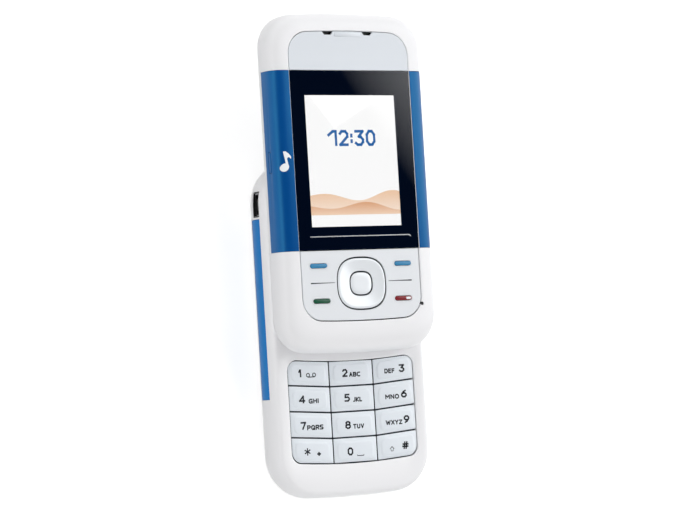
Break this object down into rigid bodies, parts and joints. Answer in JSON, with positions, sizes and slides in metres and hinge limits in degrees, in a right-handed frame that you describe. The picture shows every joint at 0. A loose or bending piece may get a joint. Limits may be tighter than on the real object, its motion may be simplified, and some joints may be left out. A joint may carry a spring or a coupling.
{
  "type": "slider phone",
  "caption": "Slider phone, shown open: a keypad base half, an upper half with window and navigation keys that slides over it, pressable keys and a sliding battery cover.",
  "frame": {"origin": "under the middle of the open phone, on the surface that its back rests on", "axes": "+X to the user's right, +Y towards the top of the phone, +Z out of the display towards the user"},
  "size_m": [0.0486, 0.1314, 0.021],
  "materials": {
    "white_shell": "glossy white moulded shell",
    "blue_panel": "glossy deep blue moulding",
    "blue_strip": "soft-touch blue strip",
    "window_clear": "clear hard-coated window",
    "black_frame": "black frame behind the window",
    "display": "lit display, mostly white",
    "silver_panel": "pale silver panel",
    "key_silver": "pale silver key top",
    "soft_key_blue": "light blue bar",
    "send_green": "dark green bar",
    "end_red": "dark red bar",
    "plate_steel": "stamped steel",
    "dark_plastic": "dark moulded plastic",
    "circuit_board": "green solder mask",
    "battery_label": "dark grey battery wrap",
    "pale_rubber": "translucent silicone",
    "flex_amber": "amber flexible circuit",
    "camera_glass": "dark glossy camera cover"
  },
  "bodies": {
    "base": {"base_front_cover": "white_shell", "rear_shell": "white_shell", "base_rail_plate": "plate_steel", "main_board": "circuit_board", "shield_can": "plate_steel", "battery": "battery_label", "sim_holder": "plate_steel", "dome_sheet": "plate_steel", "keypad_mat": "pale_rubber", "side_strip_left": "blue_strip", "side_strip_right": "blue_strip", "data_socket": "dark_plastic", "camera_module": "dark_plastic", "camera_window": "camera_glass", "loudspeaker": "dark_plastic", "vibration_motor": "plate_steel", "antenna": "dark_plastic", "flex_cable": "flex_amber", "volume_switch": "plate_steel", "base_screws": "plate_steel"},
    "slide": {"slide_front_cover": "white_shell", "slide_back_cover": "white_shell", "slide_rail_plate": "plate_steel", "slide_chassis": "dark_plastic", "side_panel_left": "blue_panel", "side_panel_right": "blue_panel", "window": "window_clear", "window_frame": "black_frame", "display_module": "display", "earpiece_panel": "silver_panel", "earpiece": "dark_plastic", "microphone": "dark_plastic", "function_panel": "silver_panel", "function_mat": "pale_rubber", "slide_board": "circuit_board", "music_switch": "plate_steel", "slide_screws": "plate_steel"},
    "battery_cover": {"battery_cover": "white_shell"},
    "key_1": {"key_1": "key_silver"},
    "key_2": {"key_2": "key_silver"},
    "key_3": {"key_3": "key_silver"},
    "key_4": {"key_4": "key_silver"},
    "key_5": {"key_5": "key_silver"},
    "key_6": {"key_6": "key_silver"},
    "key_7": {"key_7": "key_silver"},
    "key_8": {"key_8": "key_silver"},
    "key_9": {"key_9": "key_silver"},
    "key_star": {"key_star": "key_silver"},
    "key_0": {"key_0": "key_silver"},
    "key_hash": {"key_hash": "key_silver"},
    "soft_key_left": {"soft_key_left": "soft_key_blue"},
    "soft_key_right": {"soft_key_right": "soft_key_blue"},
    "send_key": {"send_key": "send_green"},
    "end_key": {"end_key": "end_red"},
    "nav_plate": {"nav_plate": "pale_rubber"},
    "nav_ring": {"nav_ring": "silver_panel"},
    "centre_key": {"centre_key": "silver_panel"},
    "music_key": {"music_key": "blue_panel"},
    "volume_rocker": {"volume_rocker": "blue_strip"}
  },
  "joints": [
    {"name": "phone_slide", "type": "slide", "parent": "base", "child": "slide", "axis": [0, 1, 0], "range_m": [-0.039, 0]},
    {"name": "cover_slide", "type": "slide", "parent": "base", "child": "battery_cover", "axis": [0, 1, 0], "range_m": [-0.008, 0]},
    {"name": "key_1_press", "type": "slide", "parent": "base", "child": "key_1", "axis": [0, 0, 1], "range_m": [-0.0003, 0], "stiffness_N_per_m": 300, "springref_m": 0.001},
    {"name": "key_2_press", "type": "slide", "parent": "base", "child": "key_2", "axis": [0, 0, 1], "range_m": [-0.0003, 0], "stiffness_N_per_m": 300, "springref_m": 0.001},
    {"name": "key_3_press", "type": "slide", "parent": "base", "child": "key_3", "axis": [0, 0, 1], "range_m": [-0.0003, 0], "stiffness_N_per_m": 300, "springref_m": 0.001},
    {"name": "key_4_press", "type": "slide", "parent": "base", "child": "key_4", "axis": [0, 0, 1], "range_m": [-0.0003, 0], "stiffness_N_per_m": 300, "springref_m": 0.001},
    {"name": "key_5_press", "type": "slide", "parent": "base", "child": "key_5", "axis": [0, 0, 1], "range_m": [-0.0003, 0], "stiffness_N_per_m": 300, "springref_m": 0.001},
    {"name": "key_6_press", "type": "slide", "parent": "base", "child": "key_6", "axis": [0, 0, 1], "range_m": [-0.0003, 0], "stiffness_N_per_m": 300, "springref_m": 0.001},
    {"name": "key_7_press", "type": "slide", "parent": "base", "child": "key_7", "axis": [0, 0, 1], "range_m": [-0.0003, 0], "stiffness_N_per_m": 300, "springref_m": 0.001},
    {"name": "key_8_press", "type": "slide", "parent": "base", "child": "key_8", "axis": [0, 0, 1], "range_m": [-0.0003, 0], "stiffness_N_per_m": 300, "springref_m": 0.001},
    {"name": "key_9_press", "type": "slide", "parent": "base", "child": "key_9", "axis": [0, 0, 1], "range_m": [-0.0003, 0], "stiffness_N_per_m": 300, "springref_m": 0.001},
    {"name": "key_star_press", "type": "slide", "parent": "base", "child": "key_star", "axis": [0, 0, 1], "range_m": [-0.0003, 0], "stiffness_N_per_m": 300, "springref_m": 0.001},
    {"name": "key_0_press", "type": "slide", "parent": "base", "child": "key_0", "axis": [0, 0, 1], "range_m": [-0.0003, 0], "stiffness_N_per_m": 300, "springref_m": 0.001},
    {"name": "key_hash_press", "type": "slide", "parent": "base", "child": "key_hash", "axis": [0, 0, 1], "range_m": [-0.0003, 0], "stiffness_N_per_m": 300, "springref_m": 0.001},
    {"name": "soft_key_left_press", "type": "slide", "parent": "slide", "child": "soft_key_left", "axis": [0, 0, 1], "range_m": [-0.0003, 0], "stiffness_N_per_m": 300, "springref_m": 0.001},
    {"name": "soft_key_right_press", "type": "slide", "parent": "slide", "child": "soft_key_right", "axis": [0, 0, 1], "range_m": [-0.0003, 0], "stiffness_N_per_m": 300, "springref_m": 0.001},
    {"name": "send_key_press", "type": "slide", "parent": "slide", "child": "send_key", "axis": [0, 0, 1], "range_m": [-0.0003, 0], "stiffness_N_per_m": 300, "springref_m": 0.001},
    {"name": "end_key_press", "type": "slide", "parent": "slide", "child": "end_key", "axis": [0, 0, 1], "range_m": [-0.0003, 0], "stiffness_N_per_m": 300, "springref_m": 0.001},
    {"name": "centre_key_press", "type": "slide", "parent": "slide", "child": "centre_key", "axis": [0, 0, 1], "range_m": [-0.0003, 0], "stiffness_N_per_m": 300, "springref_m": 0.001},
    {"name": "nav_tilt_up_down", "type": "hinge", "parent": "slide", "child": "nav_plate", "pos_m": [0, -0.0082, 0.0187], "axis": [1, 0, 0], "range_deg": [-2, 2], "stiffness_Nm_per_rad": 0.02},
    {"name": "nav_tilt_left_right", "type": "hinge", "parent": "nav_plate", "child": "nav_ring", "pos_m": [0, -0.0082, 0.0187], "axis": [0, 1, 0], "range_deg": [-2, 2], "stiffness_Nm_per_rad": 0.02},
    {"name": "music_key_press", "type": "slide", "parent": "slide", "child": "music_key", "axis": [-1, 0, 0], "range_m": [-0.0003, 0], "stiffness_N_per_m": 300, "springref_m": 0.001},
    {"name": "volume_rock", "type": "hinge", "parent": "base", "child": "volume_rocker", "pos_m": [0.02265, 0.0019, 0.00635], "axis": [0, 0, 1], "range_deg": [-2, 2], "stiffness_Nm_per_rad": 0.02}
  ]
}
